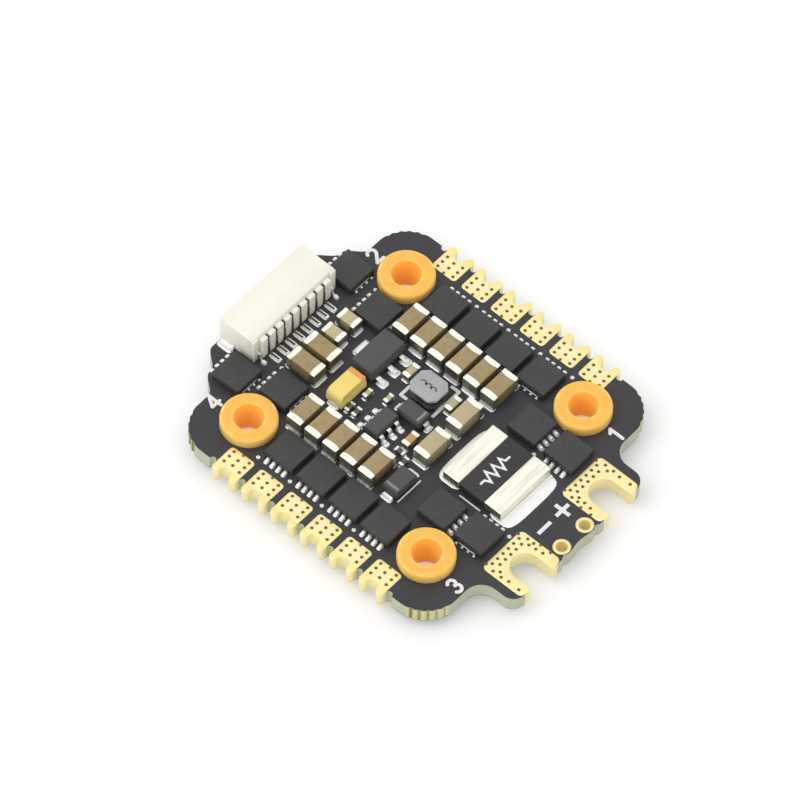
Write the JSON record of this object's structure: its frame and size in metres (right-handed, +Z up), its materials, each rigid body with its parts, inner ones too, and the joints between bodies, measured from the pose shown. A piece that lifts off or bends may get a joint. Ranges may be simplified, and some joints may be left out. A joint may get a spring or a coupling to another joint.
{
  "type": "electronic speed controller",
  "caption": "Flat circuit board that drives the motors of a small multirotor, with edge solder pads, a side-entry signal connector and soft grommets at its mounting holes.",
  "frame": {"origin": "centre of the square mounting pattern, on the plane that the grommets rest on", "axes": "+Y towards the signal connector's mouth, +X to the right with the component side up, +Z up through the board"},
  "size_m": [0.0308, 0.0362, 0.0057],
  "materials": {
    "glass_laminate": "glass-epoxy laminate, pale grey-green cut edge",
    "solder_mask": "black satin solder mask",
    "gold_plating": "immersion gold over copper, satin",
    "white_print": "white board print",
    "orange_silicone": "translucent orange silicone",
    "connector_nylon": "ivory moulded nylon",
    "bright_tin": "bright tin-plated lead",
    "matte_tin": "matt tin-plated end cap",
    "solder": "smooth reflowed solder",
    "shunt_metal": "brushed tinned metal",
    "shunt_coating": "black epoxy coating",
    "chip_epoxy": "charcoal moulded epoxy",
    "transistor_epoxy": "charcoal moulded epoxy, faintly mottled",
    "yellow_epoxy": "yellow moulded epoxy with an orange stripe",
    "ferrite": "grey ferrite, matt",
    "brown_ceramic": "brown capacitor ceramic, satin",
    "beige_ceramic": "beige capacitor ceramic, satin",
    "resistor_glaze": "black resistor glaze"
  },
  "bodies": {
    "root": {"board_core": "glass_laminate", "solder_mask_top": "solder_mask", "solder_mask_bottom": "solder_mask", "motor_1_pads": "gold_plating", "motor_2_pads": "gold_plating", "motor_3_pads": "gold_plating", "motor_4_pads": "gold_plating", "battery_pad_positive": "gold_plating", "battery_pad_negative": "gold_plating", "capacitor_lead_rings": "gold_plating", "printed_marks": "white_print", "grommet_1": "orange_silicone", "grommet_2": "orange_silicone", "grommet_3": "orange_silicone", "grommet_4": "orange_silicone", "connector_housing": "connector_nylon", "connector_contacts": "bright_tin", "connector_hold_downs": "bright_tin", "shunt_body": "shunt_coating", "shunt_terminals": "shunt_metal", "regulator_body": "chip_epoxy", "regulator_leads": "bright_tin", "tantalum_capacitor_body": "yellow_epoxy", "tantalum_capacitor_terminals": "bright_tin", "coil_body": "ferrite", "coil_terminals": "bright_tin", "converter_body": "chip_epoxy", "converter_leads": "bright_tin", "rectifier_diode_body": "chip_epoxy", "rectifier_diode_leads": "bright_tin", "clamp_diode_body": "chip_epoxy", "clamp_diode_leads": "bright_tin", "motor_1_transistors": "transistor_epoxy", "motor_2_transistors": "transistor_epoxy", "motor_3_transistors": "transistor_epoxy", "motor_4_transistors": "transistor_epoxy", "motor_1_transistor_leads": "bright_tin", "motor_2_transistor_leads": "bright_tin", "motor_3_transistor_leads": "bright_tin", "motor_4_transistor_leads": "bright_tin", "right_bank_capacitors": "brown_ceramic", "right_bank_terminals": "matte_tin", "left_bank_capacitors": "brown_ceramic", "left_bank_terminals": "matte_tin", "front_capacitors": "beige_ceramic", "front_capacitor_terminals": "matte_tin", "rear_capacitors": "brown_ceramic", "rear_capacitor_terminals": "matte_tin", "small_capacitors": "beige_ceramic", "small_capacitor_terminals": "matte_tin", "chip_resistors": "resistor_glaze", "chip_resistor_terminals": "matte_tin", "solder_pads_top": "solder", "microcontrollers": "chip_epoxy", "gate_drivers": "chip_epoxy", "underside_capacitors": "brown_ceramic", "underside_capacitor_terminals": "matte_tin", "solder_pads_bottom": "solder"}
  },
  "joints": []
}
